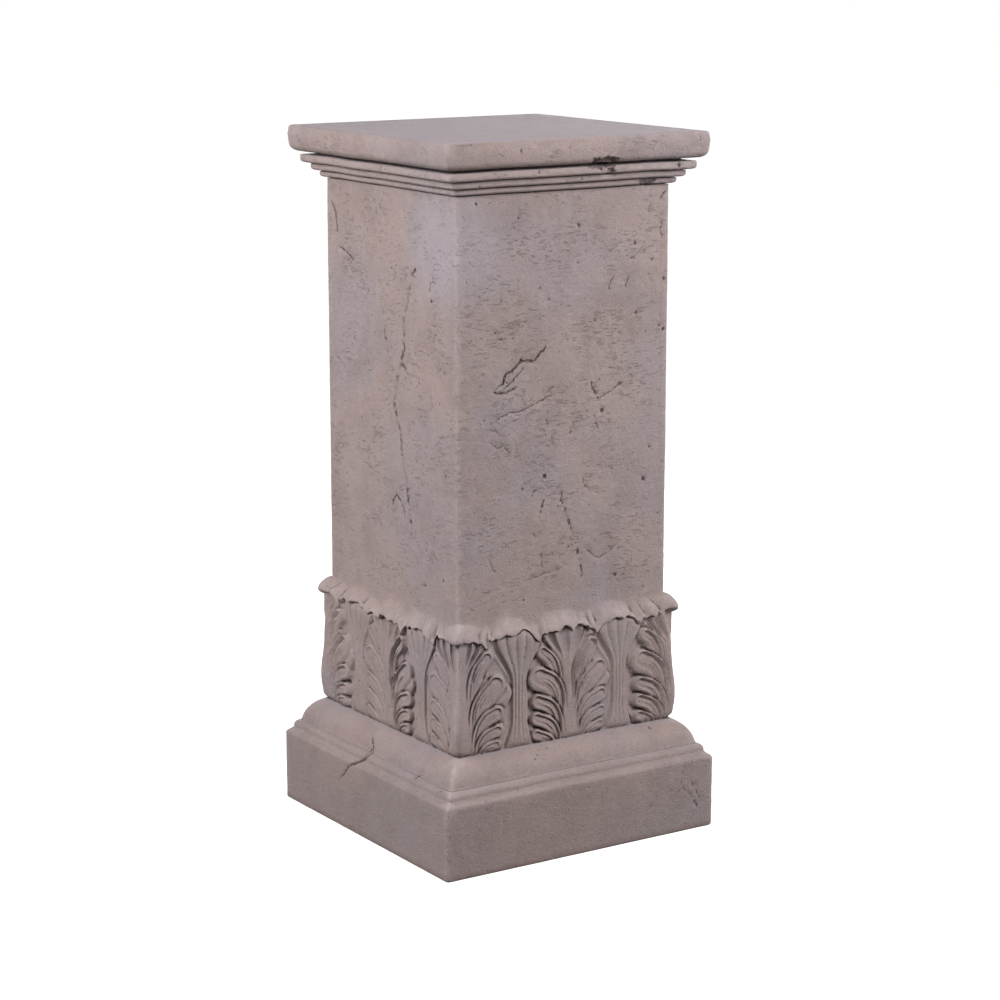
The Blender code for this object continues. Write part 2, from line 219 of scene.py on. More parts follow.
# Cracks: face, half width and depth, how far noise breaks them up, and their points along the face
# and above the underside, all in millimetres
CRACKS = (
    (0, 1.5, 2.2, 0.2, ((-23, 549), (-27, 540), (-31, 538), (-39, 530), (-45, 530), (-53, 531), (-58, 531),
                        (-61, 527), (-67, 521), (-75, 519), (-78, 509), (-83, 507), (-90, 502))),
    (0, 2.0, 2.2, 0.1, ((-55, 534), (-57, 531), (-61, 528))),
    (0, 1.2, 1.3, 0.4, ((-52, 528), (-54, 522), (-64, 513), (-68, 510), (-74, 505), (-80, 500))),
    (0, 1.3, 1.6, 0.2, ((-90, 502), (-86, 500), (-75, 499), (-67, 502), (-59, 506))),
    (0, 0.9, 1.0, 0.4, ((-76, 518), (-75, 511), (-70, 508))),
    (0, 1.0, 1.2, 0.2, ((-88, 469), (-85, 472), (-80, 475), (-71, 478), (-60, 478), (-53, 480), (-43, 484),
                        (-31, 488), (-21, 491), (-13, 492), (-6, 493))),
    (0, 1.0, 1.1, 0.3, ((-29, 493), (-23, 495), (-19, 499), (-13, 501))),
    (0, 0.7, 0.7, 0.5, ((0, 495), (7, 498), (14, 503), (19, 505), (33, 504), (40, 503))),
    (0, 1.3, 1.5, 0.2, ((34, 503), (34.6, 497), (38, 491), (39, 486))),
    (0, 1.0, 1.2, 0.4, ((39, 486), (43, 483), (51, 487), (59, 490), (65, 494), (71, 498), (77, 498))),
    (0, 0.7, 0.7, 0.5, ((67, 482), (77, 477))),
    (0, 0.9, 0.9, 0.6, ((-95, 463), (-86, 460), (-84, 457), (-80, 453))),
    (0, 0.9, 1.0, 0.5, ((-95, 450), (-90, 446), (-84, 442), (-79, 444), (-73, 440), (-70, 436), (-73, 432),
                        (-78, 433))),
    (0, 1.5, 1.0, 0.7, ((-22, 478), (-23, 464), (-21, 455))),
    (0, 1.8, 1.0, 0.7, ((36, 472), (41, 456), (44, 444))),
    (0, 1.0, 1.0, 0.4, ((99, 643), (97, 638), (89, 631), (84, 628), (75, 626))),
    (0, 1.0, 1.4, 0.4, ((124, 667), (122, 656), (124, 645))),
    (0, 1.0, 1.1, 0.3, ((62, 612), (57, 606), (54, 596))),
    (0, 1.1, 1.4, 0.3, ((81, 611), (77, 602), (76, 598))),
    (0, 0.8, 0.8, 0.5, ((-42, 657.6), (-28, 658.8))),
    (0, 0.7, 0.7, 0.5, ((-102, 554), (-94, 552))),
    (0, 0.8, 0.9, 0.4, ((-92, 548), (-83, 550))),
    (0, 0.8, 0.6, 0.6, ((110, 686), (103, 674))),
    (0, 1.0, 1.3, 0.2, ((129, 698), (120, 689))),
    (0, 0.9, 0.9, 0.6, ((-27, 400), (-24, 396), (-17, 391))),
    (0, 1.1, 1.3, 0.3, ((-35, 394), (-42, 391))),
    (0, 1.0, 0.9, 0.7, ((-17, 387), (-3, 387), (-5, 380), (0, 372))),
    (0, 2.4, 1.1, 0.7, ((0, 372), (3, 364), (7, 350), (12, 339))),
    (0, 2.4, 0.9, 0.85, ((16, 328), (19, 314), (23, 294), (27, 284))),
    (0, 2.0, 0.9, 0.8, ((-25, 385), (-30, 372), (-32, 362))),
    (0, 0.9, 1.1, 0.3, ((-41, 348), (-38, 345))),
    (0, 0.9, 0.8, 0.7, ((-30, 332), (-29, 318), (-29, 308), (-27, 304))),
    (0, 0.8, 0.9, 0.3, ((-53, 298), (-41, 300), (-29, 302), (-13, 304), (3, 308))),
    (0, 1.0, 1.0, 0.5, ((-97, 330), (-93, 320), (-91, 314), (-87, 312))),
    (0, 0.9, 1.0, 0.2, ((21, 329), (33, 319), (39, 314), (45, 312), (53, 315), (64, 321), (73, 326))),
    (0, 0.9, 0.8, 0.6, ((23, 402), (23, 396), (27, 390), (37, 384), (49, 380))),
    (0, 2.6, 1.1, 0.8, ((128, 60), (134, 50), (142, 40), (150, 30), (156, 20))),
    (0, 1.6, 1.0, 0.8, ((130, 66), (138, 62), (146, 52), (154, 38), (160, 26))),
    (0, 0.8, 0.5, 0.4, ((121, 701), (121.5, 640), (122.5, 560), (122, 500), (121.5, 440), (122, 380))),
    (0, 0.9, 0.9, 0.4, ((95, 57), (106, 55))),
    (0, 0.9, 1.2, 0.3, ((148, 749), (150, 753), (149, 756))),
    (3, 2.0, 1.7, 0.4, ((-123, 680), (-118, 675), (-113.5, 668), (-112, 659), (-110, 651), (-109, 644))),
    (3, 1.5, 1.3, 0.2, ((-108, 632), (-100, 630), (-93, 628), (-83, 624), (-72, 617))),
    (3, 0.9, 0.5, 0.6, ((-53, 680), (-42, 675))),
    (3, 2.2, 1.0, 0.8, ((52, 624), (46, 618), (41, 604), (38, 596))),
    (3, 5.0, 0.5, 0.5, ((56, 640), (50, 622), (42, 604), (34, 584), (28, 566), (27, 549), (27, 534), (21, 518),
                        (13, 503), (10, 488), (7, 474), (13, 459), (19, 444), (22, 424), (27, 406), (32, 392),
                        (34, 378), (39, 354), (42, 339), (46, 326))),
    (3, 4.0, 0.4, 0.5, ((-24, 612), (-20, 598), (-16, 575), (-13, 554), (-9, 540), (-4, 524))),
    (3, 3.0, 1.1, 0.8, ((24, 564), (27, 549), (27, 534), (23, 526), (21, 520))),
    (3, 2.0, 1.2, 0.6, ((20, 521), (27, 518), (34, 514))),
    (3, 2.0, 1.0, 0.8, ((-15, 563), (-13, 554), (-9, 540), (-4, 524))),
    (3, 2.4, 1.0, 0.85, ((11, 489), (6, 478), (8, 471), (14, 459), (19, 444), (22, 424), (27, 406))),
    (3, 2.8, 1.0, 0.85, ((32, 394), (33, 381), (39, 354), (42, 339), (46, 330))),
    (3, 2.0, 1.4, 0.5, ((2, 364), (3, 371), (11, 379), (19, 373), (24, 366), (29, 356))),
    (3, 0.9, 1.0, 0.4, ((80, 600), (81, 612), (85, 615), (96, 609))),
    (3, 0.8, 0.8, 0.4, ((-85, 428), (-79, 431))),
    (3, 0.8, 0.6, 0.5, ((-95, 393), (-88, 392), (-74, 389))),
    (3, 1.5, 1.6, 0.3, ((-14, 113), (-8, 106), (0, 100), (-4, 95), (-5, 90), (-9, 84), (-21, 79), (-28, 75),
                        (-36, 66), (-46, 58), (-53, 47))),
    (3, 1.2, 1.4, 0.3, ((0, 101), (1, 96), (-2, 88), (-12, 82), (-24, 74))),
)
# Larger pits: face, place along the face and above the underside, radius and depth in millimetres
PITS = (
    (0, -111, 695, 1.8, 1.6), (0, -59, 679, 1.4, 1.3), (0, 16, 667, 2.4, 1.6), (0, -55, 655, 1.4, 0.8),
    (0, -107, 601, 1.8, 0.8), (0, -80, 595, 1.4, 1.0), (0, -21, 593, 1.8, 0.8), (0, -88, 563, 1.4, 1.3),
    (0, -81, 556, 1.3, 0.9), (0, -66, 556, 1.3, 1.0), (0, 89, 644, 2.2, 1.6), (0, 111, 625, 1.7, 1.4),
    (0, 127, 604, 2.0, 1.6), (0, 127, 550, 2.4, 2.0), (0, 91, 570, 1.9, 1.3), (0, 38, 567, 1.9, 1.1),
    (0, 25, 641, 1.3, 0.7), (0, 15, 629, 1.5, 0.8), (0, 11, 547, 1.6, 0.7), (0, 104, 550, 1.6, 0.8),
    (0, -33, 606, 2.0, 0.7), (0, -101, 473, 1.4, 1.0), (0, 7, 450, 1.7, 0.9), (0, 48, 470, 3.2, 1.5),
    (0, 71, 497, 2.6, 1.6), (0, -26, 407, 2.6, 2.2), (0, 58, 456, 1.6, 0.9), (0, 103, 391, 3.0, 1.5),
    (0, 67, 290, 2.6, 1.1), (0, 123, 351, 1.5, 1.1), (0, -23, 466, 1.9, 1.2), (0, -54, 397, 2.2, 0.7),
    (0, 61, 406, 1.8, 0.8), (0, 104, 271, 1.5, 0.9), (0, -52, 278, 1.5, 0.8), (0, 5, 328, 1.8, 0.8),
    (0, 122, 555, 1.8, 0.9), (0, 110, 425, 1.2, 0.8), (0, -77, 749, 1.5, 1.4), (0, -56, 754, 1.3, 1.2),
    (0, -17, 751, 1.5, 1.3), (0, 40, 724, 2.2, 1.8), (0, 45, 726, 1.8, 1.6), (0, -48, 726, 1.5, 1.4),
    (0, 130, 726, 2.4, 2.0), (0, 11, 716, 1.5, 1.4), (0, -115, 714, 1.5, 1.4), (0, 88, 38, 1.6, 1.0),
    (0, 132, 68, 1.6, 1.0), (0, 23, 60, 1.4, 0.9), (0, -70, 63, 1.5, 1.0), (0, -102, 54, 1.5, 1.0),
    (0, -50, 108, 1.6, 1.0), (0, -46, 111, 1.3, 0.9), (0, 105, 116, 1.5, 0.9),
    (3, 83, 593, 2.2, 1.8), (3, 51, 623, 2.2, 1.2), (3, 109, 415, 1.5, 0.9), (3, 104, 303, 1.5, 0.9),
    (3, 68, 291, 1.7, 0.9), (3, 98, 489, 1.2, 0.7), (3, 14, 303, 1.5, 0.8), (3, -47, 418, 1.5, 0.7),
    (3, -45, 590, 1.3, 0.6), (3, 97, 92, 1.6, 1.1), (3, 4, 620, 1.6, 0.7),
)
# Small pits strewn on every face: how many, radius and depth from least to most, in millimetres
STREWN_PITS = 45
STREWN_RADIUS = (0.5, 1.1)
STREWN_DEPTH = (0.3, 0.8)
# Unevenness of the cast: size of the lumps in metres, and how far they press in
UNEVENNESS = ((0.060, 0.00035), (0.014, 0.00022), (0.0055, 0.00020))
# How far the mouldings of the cap and base rise and fall along a face, and over what length
WAVER = 0.0007
WAVER_LENGTH = 0.045
LATTICE = 32
# A place lies in a hollow if it is lower than places within this many rows or columns on both sides; hollows this
# deep get full dirt and painted shade
HOLLOW_ROWS = 5
HOLLOW_COLUMNS = 5
HOLLOW_FULL = 0.0030
# Cracks, chips and pits get dirt and painted shade: depth at full darkness, then how dark cracks and chips get
MARK_FULL = 0.7
MARK_SOIL_AND_SHADE = 0.86
CHIP_SOIL_AND_SHADE = 0.55
# Proud places and arrises are painted paler, as rubbed pale stone and as a painted highlight
PROUD_FULL = 0.0045
ARRIS_RUBBED_AND_HIGHLIT = 0.8
# The curled leaf tips get a painted highlight on their tops: heights where they begin, how far they stand out,
# and by how much
LIP_ROWS = (0.230, 0.242)
LIP_STANDS_OUT = (0.0015, 0.0055)
LIP_HIGHLIGHT = 0.75

# Colours of the stone, with a painted sheen and painted shade among them
WARM_STONE = (0.272, 0.209, 0.197, 1.0)
COOL_STONE = (0.254, 0.207, 0.212, 1.0)
DARK_STONE = (0.170, 0.128, 0.120, 1.0)
PALE_STONE = (0.360, 0.298, 0.288, 1.0)
# Painted sheen: a bluish cast on upward faces
UPWARD_SHEEN = (0.265, 0.232, 0.254, 1.0)
BLUISH_STONE = (0.300, 0.275, 0.310, 1.0)
BLUISH_PATCH = (-0.133, -0.098, 0.655)
BLUISH_REACH = 0.095
# Dark of dirt and painted shade in hollows, cracks, pits and pores
DIRT_AND_SHADE = (0.035, 0.023, 0.020, 1.0)
FOOT_SOIL = (0.130, 0.080, 0.060, 1.0)
FOOT_SOIL_HEIGHT = 0.009
# Painted shade: the lower rows are darkened
PAINTED_SHADE_ROWS = (0.030, 0.150)
SCRATCHED_ROWS = (0.255, 0.285)
VOID_SPACING = 0.0034
GRAIN_HEIGHT = 0.0009

# Camera: distance and height of the lens in pedestal heights, bearing and downward tilt in degrees
CAMERA_DISTANCE = 3.824
CAMERA_HEIGHT = 1.2763
CAMERA_BEARING = 33.13
CAMERA_TILT = 11.94
SENSOR = 36.0
FOCAL_PIXELS = 2716.4
FRAME_PIXELS = 1000.0
CENTRE_PIXEL = 495.7

# Softboxes: metres to the camera's right, towards the camera and above the target, size, power
SOFTBOXES = (
    ("left_softbox", -1.6, 0.75, 0.62, 0.8, 1.3, 45.0),
    ("right_softbox", 1.7, 0.7, 0.75, 0.7, 1.3, 48.5),
    ("overhead_softbox", 0.0, 0.3, 1.7, 1.6, 1.6, 8.0),
    ("front_softbox", 0.0, 2.2, 1.3, 1.2, 1.0, 27.0),
    ("back_softbox", 0.3, -2.0, 0.35, 1.2, 0.9, 32.0),
)
ROOM_LIGHT = 0.14
BACKDROP_LIGHT = 1.0
FLOOR_REACH = 10.0
FLOOR_COLOUR = (0.3, 0.3, 0.3, 1.0)
FLOOR_GLOW = 1.0


def smooth(low, high, value):
    """0 below low, 1 above high, eased between them."""
    share = np.clip((value - low) / (high - low), 0.0, 1.0)
    return share * share * (3.0 - 2.0 * share)


def bump(distance, width):
    return np.exp(-(distance / width) ** 2)


def noise(places, size, seed):
    """Smooth seeded noise between -1 and 1 at places in space, in lumps of about this size."""
    lattice = np.random.default_rng(seed).uniform(-1.0, 1.0, (LATTICE,) * 3)
    scaled = places / size
    cell = np.floor(scaled).astype(int)
    share = smooth(0.0, 1.0, scaled - cell)
    total = np.zeros(places.shape[:-1])
    for sides in itertools.product((0, 1), repeat=3):
        index = tuple((cell[..., axis] + side) % LATTICE for axis, side in enumerate(sides))
        weight = 1.0
        for axis, side in enumerate(sides):
            weight = weight * (share[..., axis] if side else 1.0 - share[..., axis])
        total += weight * lattice[index]
    return total


def smooth_curve(points):
    """A curve through the points, with SPAN_STEPS steps between neighbours."""
    points = np.array(points, float)
    ends = np.vstack([2 * points[0] - points[1], points, 2 * points[-1] - points[-2]])
    share = (np.arange(SPAN_STEPS) / SPAN_STEPS)[:, None]
    spans = []
    for before, here, after, beyond in zip(ends, ends[1:], ends[2:], ends[3:]):
        spans.append(0.5 * (2 * here + (after - before) * share
                            + (2 * before - 5 * here + 4 * after - beyond) * share ** 2
                            + (3 * here - before - 3 * after + beyond) * share ** 3))
    return np.vstack(spans + [points[-1:]])


def curve_coordinates(x, z, curve):
    """Share along a curve, distance from it, and the side: -1 on its left to 1 on its right."""
    nearest = np.full(x.shape, np.inf)
    share = np.zeros(x.shape)
    side = np.ones(x.shape)
    count = len(curve) - 1
    for index in range(count):
        start = curve[index]
        run = curve[index + 1] - start
        along = np.clip(((x - start[0]) * run[0] + (z - start[1]) * run[1]) / (run @ run), 0.0, 1.0)
        off_x = x - start[0] - along * run[0]
        off_z = z - start[1] - along * run[1]
        distance = np.hypot(off_x, off_z)
        closer = distance < nearest
        nearest = np.where(closer, distance, nearest)
        share = np.where(closer, (index + along) / count, share)
        sideways = (off_x * run[1] - off_z * run[0]) / (math.hypot(*run) * np.maximum(distance, 1e-6))
        side = np.where(closer, np.clip(sideways, -1.0, 1.0), side)
    return share, nearest, side


def near_curve(x, z, points, margin):
    """Curve coordinates for the places within a margin of the curve, and which places those are."""
    curve = smooth_curve(points)
    low, high = curve.min(axis=0) - margin, curve.max(axis=0) + margin
    here = (x > low[0]) & (x < high[0]) & (z > low[1]) & (z < high[1])
    share, distance, side = curve_coordinates(x[here], z[here], curve)
    return here, share, distance * side


def lobe_over(relief, x, z, lobe):
    """Lay one lobe over the relief: a thin rim, a hollow with nested ridges, and a rolled lower side."""
    spine, above, below, roll, hollow = lobe
    share, distance, side = curve_coordinates(x, z, smooth_curve(spine))
    lower = 0.5 + 0.5 * side
    grown = 0.25 + 0.75 * smooth(0.0, 0.6, share)
    width = (above + (below - above) * lower) * grown
    inset = width - distance
    inside_rim = inset - RIM_INSET - (roll - RIM_INSET) * lower * grown
    rising_floor = np.clip((0.75 - side * distance / width) / 1.3, 0.0, 1.0)
    begun = smooth(0.05, 0.4, share)
    rimmed = begun if hollow else 0.0
    level = LEAF_LEVEL + 0.9 * smooth(0.3, 0.95, share)
    level -= 1.9 * lower * np.clip(1 - inset / 4.5, 0.0, 1.0) ** 2
    level += rimmed * RIM_HEIGHT * bump(inside_rim, RIM_HALF) * (1 - 0.8 * lower)
    filled = 1 - 0.6 * smooth(2.2, 6.0, inside_rim)
    level -= begun * hollow * smooth(0.3, 1.9 + lower, inside_rim) * rising_floor * filled
    ridges = (0.5 + 0.5 * np.cos(2 * math.pi * inside_rim / NESTED_SPACING)) * smooth(1.6, 2.4, inside_rim)
    level += rimmed * NESTED_HEIGHT * ridges * (1 - lower) * (1 - smooth(0.75, 0.95, share))
    shown = smooth(-0.4, 0.8, inset) * smooth(0.0, 0.12, share)
    on_leaf = smooth(2.0, 3.0, relief)
    gap = GAP_DEPTH * bump(inset + 1.2, 1.1) * smooth(0.15, 0.5, share) * on_leaf
    gap += MOAT_DEPTH * bump(inset + 1.5, 1.8) * smooth(0.5, 0.8, share) * (1 - on_leaf)
    return (relief - gap) * (1 - shown) + level * shown


def half_leaf_relief(x, z, lobes, cuts):
    """Half an acanthus leaf: the body beside the midrib, the lobes, and the lines cut into them."""
    web_edge = 12 + 18 * smooth(-6, 10, z) + 3 * smooth(50, 66, z) + 2 * smooth(84, 112, z)
    relief = (LEAF_LEVEL - 0.3 + 0.5 * (1 - smooth(0, 12, x))) * smooth(0, 2.0, web_edge - x)
    for lobe in lobes:
        relief = lobe_over(relief, x, z, lobe)
    carved = smooth(1.5, 3.5, relief)
    change = np.zeros(x.shape)
    for points, ridge, drop, reach in cuts:
        here, share, across = near_curve(x, z, points, 3 * reach + 3)
        taper = smooth(0.0, 0.3, share) * (1 - smooth(0.86, 1.0, share))
        fall = smooth(-0.5, 0.6, across) * np.exp(-np.clip(across, 0, None) / reach)
        change[here] += taper * (ridge * bump(across + 1.2, 1.1) - drop * fall)
    return relief + np.maximum(change, 0.6 - relief) * carved


def flute_depth(x, z):
    """Hollow flutes that rise from the midrib and open out under the lip."""
    opened = smooth(FLUTE_FOOT, FLUTE_HEAD, z)
    started = smooth(FLUTE_FOOT, FLUTE_FOOT + 0.7 * (FLUTE_HEAD - FLUTE_FOOT), z)
    depth = np.zeros(x.shape)
    for top, half in FLUTE_TOPS:
        line = top * (0.25 + 0.75 * opened ** 1.3)
        hollow = np.clip(1 - ((x - line) / (half * (0.4 + 0.6 * opened))) ** 2, 0.0, 1.0) ** 0.7
        depth = np.maximum(depth, (1.6 + 2.6 * opened) * started * hollow)
    return depth


def stalk_relief(x, z):
    """A reeded stalk with a flared foot, a narrow waist and a fan at the top."""
    half = 9.5 + 9 * (1 - smooth(-6, 36, z)) ** 1.3 + 20 * smooth(66, 118, z) ** 1.4
    share = x / half
    relief = 3.4 - 0.8 * share ** 2 + 0.9 * (1 - smooth(0, 30, z))
    crown = np.zeros(x.shape)
    for reed in STALK_REEDS:
        crown = np.maximum(crown, 1 - np.abs(share - reed) / 0.2)
    relief += (1.1 + 0.9 * smooth(80, 116, z)) * np.sqrt(np.clip(crown, 0.0, 1.0)) * smooth(-4, 24, z)
    relief *= smooth(-2.0, 2.0, half - np.abs(x))
    drape = 0.6 + half + 5 * smooth(40, 0, z) + 7 * smooth(60, 100, z)
    relief = np.maximum(relief, 1.2 * bump(np.abs(x) - drape, 2.2) * (1 - smooth(96, 112, z)))
    return relief


def lip_edge(u, edges):
    """Height of the lower edge of the curled tips, a little ragged."""
    edge = np.zeros(u.shape)
    for (left, low, arch), (right, next_low, _) in zip(edges, edges[1:]):
        share = (u - left) / (right - left)
        span = low + (next_low - low) * share + 4 * arch * share * (1 - share)
        edge = np.where((share >= 0) & (share <= 1), span, edge)
    for waves, height in ((0.23, 0.8), (0.61, 0.5), (1.33, 0.15)):
        edge += height * np.sin(waves * u + 9 * waves)
    return edge


def lip_relief(u, z, edges, petals):
    """The leaf tips, which curl out and down; the rounded back of each runs up to the shaft."""
    edge = lip_edge(u, edges)
    back = np.zeros(u.shape)
    for centre, half, crest, top in ((0.0, 1e6, FRILL_CREST, FRILL_TOP),) + tuple(petals):
        share = np.clip(np.abs(u - centre) / half, 0.0, 1.0)
        round_off = (1 - share ** 2.2) ** 0.7
        crown = top - (top - 127.0) * 0.55 * share ** 2
        fall = np.clip((crown - z) / (crown - edge - 1.0), 0.0, 1.0)
        bulbous = 0.25 + 0.55 * (centre / DRAWN_HALF_FACE) ** 4
        curled = bulbous * np.sqrt(1 - (1 - fall) ** 2) + (1 - bulbous) * smooth(0.0, 0.95, fall)
        back = np.maximum(back, (crest + GROUND) * round_off * curled)
    flare = smooth(112, DRAWN_HALF_FACE, np.abs(u))
    return back * smooth(-0.6 - 9 * flare, 0.8, z - edge) - GROUND


def face_relief(u, z, edges, petals, faint):
    """Relief of one face over its ground, in drawn millimetres; u runs from corner to corner."""
    relief = np.zeros(u.shape)
    halves = [(-DRAWN_HALF_FACE, 1, CORNER_RISING_LOBES, CORNER_RISING_CUTS),
              (0.0, -1, SHADED_LOBES, SHADED_CUTS),
              (0.0, 1, RISING_LOBES, RISING_CUTS),
              (DRAWN_HALF_FACE, -1, SHADED_LOBES, SHADED_CUTS)]
    for axis, side, lobes, cuts in halves:
        widening = CORNER_LEAF_WIDENING if axis else 0.0
        here = ((u - axis) * side >= 0) & ((u - axis) * side < LEAF_REACH)
        from_axis = np.maximum(np.abs(u[here] - axis) - widening, 0.0)
        leaf = half_leaf_relief(from_axis, z[here], lobes, cuts)
        if side < 0:
            panel = FAINT_LEVEL * (1 - smooth(50, 62, from_axis))
            leaf = leaf + (1 - faint) * (panel - leaf)
        leaf -= flute_depth(u[here] - axis, z[here]) * smooth(2, 3, leaf)
        relief[here] = np.maximum(relief[here], leaf)
    for centre in STALK_CENTRES:
        here = np.abs(u - centre) < STALK_REACH
        relief[here] = np.maximum(relief[here], stalk_relief(u[here] - centre, z[here]))
    from_corner = DRAWN_HALF_FACE - np.abs(u)
    relief += CORNER_BELLY * bump(z - 30, 26) * (1 - smooth(0, 34, from_corner))
    relief *= 0.45 + 0.55 * smooth(0, 7, z)
    edge = lip_edge(u, edges)
    relief -= (relief + GROUND) * smooth(-2.5, 2.5, z - edge)
    relief = np.maximum(relief, lip_relief(u, z, edges, petals))
    return relief + GROUND


def arc(centre, radius_out, radius_up, start, end, steps=ARC_STEPS):
    """Points (half width, height) on an arc, angles in degrees from straight out."""
    angles = [math.radians(start + (end - start) * step / steps) for step in range(steps + 1)]
    return [(centre[0] + radius_out * math.cos(a), centre[1] + radius_up * math.sin(a)) for a in angles]


def base_profile():
    """Underside to the ledge under the leaves."""
    bead_foot = PLINTH_HEIGHT + PLINTH_TOP_RISE
    ovolo_foot = bead_foot + BEAD_HEIGHT + QUIRK
    ledge = ovolo_foot + OVOLO_HEIGHT
    ovolo_half = SHAFT_HALF + LEDGE_STEP + OVOLO_STEP
    bead_half = ovolo_half + BEAD_STEP
    plinth_half = bead_half + PLINTH_STEP
    foot = PLINTH_FOOT_ARRIS
    arris = PLINTH_TOP_ARRIS
    points = arc((plinth_half - foot, foot), foot, foot, -90, 0, 4)
    points += arc((plinth_half - arris, PLINTH_HEIGHT - arris), arris, arris, 0, 72, 6)
    points.append((bead_half, bead_foot))
    points += arc((ovolo_half, bead_foot + BEAD_FOOT), BEAD_STEP, BEAD_HEIGHT - BEAD_FOOT, 0, 85)
    points.append((ovolo_half + 0.4 * QUIRK, ovolo_foot - 0.2 * QUIRK))
    length = math.hypot(OVOLO_STEP, OVOLO_HEIGHT)
    for step in range(ARC_STEPS * 2 + 1):
        share = step / (ARC_STEPS * 2)
        bulge = 4 * OVOLO_BULGE * share * (1 - share)
        points.append((ovolo_half - OVOLO_STEP * share + bulge * OVOLO_HEIGHT / length,
                       ovolo_foot + OVOLO_HEIGHT * share + bulge * OVOLO_STEP / length))
    return points, ledge


def groove(half, height):
    """The thin groove on top of a member of this half width."""
    floor = half - GROOVE_DEPTH
    return [(floor, height + 0.2 * GROOVE_HEIGHT), (floor, height + GROOVE_HEIGHT)]


def cap_profile(shaft_top):
    """Top of the shaft to the top of the slab; a thin groove parts each member from the one below."""
    points = []
    height = shaft_top
    half = SHAFT_HALF
    out, up = MEMBER_ROUND_OUT, MEMBER_ROUND_UP
    for step, tall in zip(MEMBER_STEPS, MEMBER_HEIGHTS):
        points += groove(half, height)
        height += GROOVE_HEIGHT
        half += step
        points += arc((half - out, height + up), out, up, -90, 0, 4)
        points += [(half, height + tall - MEMBER_ARRIS), (half - MEMBER_ARRIS, height + tall)]
        height += tall
    floor = half - SLAB_GROOVE_DEPTH
    points += [(floor, height + 0.2 * SLAB_GROOVE_HEIGHT), (floor, height + SLAB_GROOVE_HEIGHT)]
    height += SLAB_GROOVE_HEIGHT
    half += SLAB_STEP
    top = height + SLAB_HEIGHT
    foot = SLAB_FOOT_ROUND
    arris = SLAB_TOP_ARRIS
    points += arc((half - foot, height + foot), foot, foot, -90, 0)
    points.append((half + SLAB_BELLY, (height + foot + top) / 2))
    points += arc((half - arris, top - arris), arris, arris, 0, 90, 5)
    return points


def closer_points(points, spacing):
    """The same profile with points added so that no step is longer than the spacing."""
    filled = [points[0]]
    for (half, height), (next_half, next_height) in zip(points, points[1:]):
        count = max(1, math.ceil(math.hypot(next_half - half, next_height - height) / spacing))
        for step in range(1, count + 1):
            share = step / count
            filled.append((half + (next_half - half) * share, height + (next_height - height) * share))
    return filled


def chip_depth(face, along, up, places):
    """How deep the ragged chips bite into a face, in millimetres."""
    rough = 0.5 * noise(places, 0.0050, 40) + 0.4 * noise(places, 0.0020, 41)
    depth = np.zeros(along.shape)
    for chip_face, centre, level, half_length, half_height, deepest in CHIPS:
        if chip_face == face:
            reach = 1 - ((along - centre) / half_length) ** 2 - ((up - level) / half_height) ** 2 + rough
            depth = np.maximum(depth, deepest * np.clip(reach, 0.0, 1.0) ** 0.6)
    return depth


def mark_depth(face, along, up, places):
    """How deep the chips, cracks and pits go into a face, in millimetres."""
    strayed = along + 0.7 * noise(places, 0.0035, 1) + 0.5 * noise(places, 0.0014, 2)
    lifted = up + 0.7 * noise(places, 0.0035, 3) + 0.5 * noise(places, 0.0014, 4)
    broken_up = smooth(-0.15, 0.35, noise(places, 0.0028, 5))
    depth = chip_depth(face, along, up, places)
    for mark_face, half, deepest, broken, points in CRACKS:
        if mark_face != face:
            continue
        curve = np.array(points, float)
        low, high = curve.min(axis=0) - 3 * half, curve.max(axis=0) + 3 * half
        here = (along > low[0]) & (along < high[0]) & (up > low[1]) & (up < high[1])
        share, across, _ = curve_coordinates(strayed[here], lifted[here], curve)
        taper = 0.35 + 0.65 * smooth(0.0, 0.15, share) * (1 - smooth(0.8, 1.0, share))
        groove_shape = np.clip(1 - (across / (half * taper)) ** 2, 0.0, 1.0)
        depth[here] = np.maximum(depth[here], deepest * taper * groove_shape
                                 * (1 - broken + broken * broken_up[here]))
    dice = np.random.default_rng(face + 10)
    strewn = zip(dice.uniform(-170, 170, STREWN_PITS), dice.uniform(5, 755, STREWN_PITS),
                 dice.uniform(*STREWN_RADIUS, STREWN_PITS), dice.uniform(*STREWN_DEPTH, STREWN_PITS))
    pits = [pit[1:] for pit in PITS if pit[0] == face] + list(strewn)
    for centre, level, radius, deepest in pits:
        here = (np.abs(along - centre) < 2 * radius) & (np.abs(up - level) < 2 * radius)
        distance = np.hypot(strayed[here] - centre, lifted[here] - level) / radius
        depth[here] = np.maximum(depth[here], deepest * np.sqrt(np.clip(1 - distance ** 2, 0.0, 1.0)))
    return depth


def hollowness(halves):
    """How far each place lies in a hollow between higher places beside it or above and below it."""
    rows = len(halves)
    below, above, left, right = (halves.copy() for _ in range(4))
    for step in range(1, HOLLOW_ROWS + 1):
        below[step:] = np.maximum(below[step:], halves[:rows - step])
        above[:rows - step] = np.maximum(above[:rows - step], halves[step:])
    for step in range(1, HOLLOW_COLUMNS + 1):
        left = np.maximum(left, np.roll(halves, step, 1))
        right = np.maximum(right, np.roll(halves, -step, 1))
    return np.maximum(np.minimum(below, above), np.minimum(left, right)) - halves


def ring_point(share, half, corner):
    """Place on a square ring with rounded corners; share runs from -1 to 1 across one face."""
    reach = np.abs(share) * half
    turned = np.clip(reach - (half - corner), 0.0, None)
    angle = turned / corner * math.pi / 4
    along = np.sign(share) * (reach - turned + corner * np.sin(angle))
    return along, half - corner + corner * np.cos(angle)


def shaft_foot():
    """Height at which the plain shaft begins."""
    return base_profile()[1] + BAND_HEIGHT


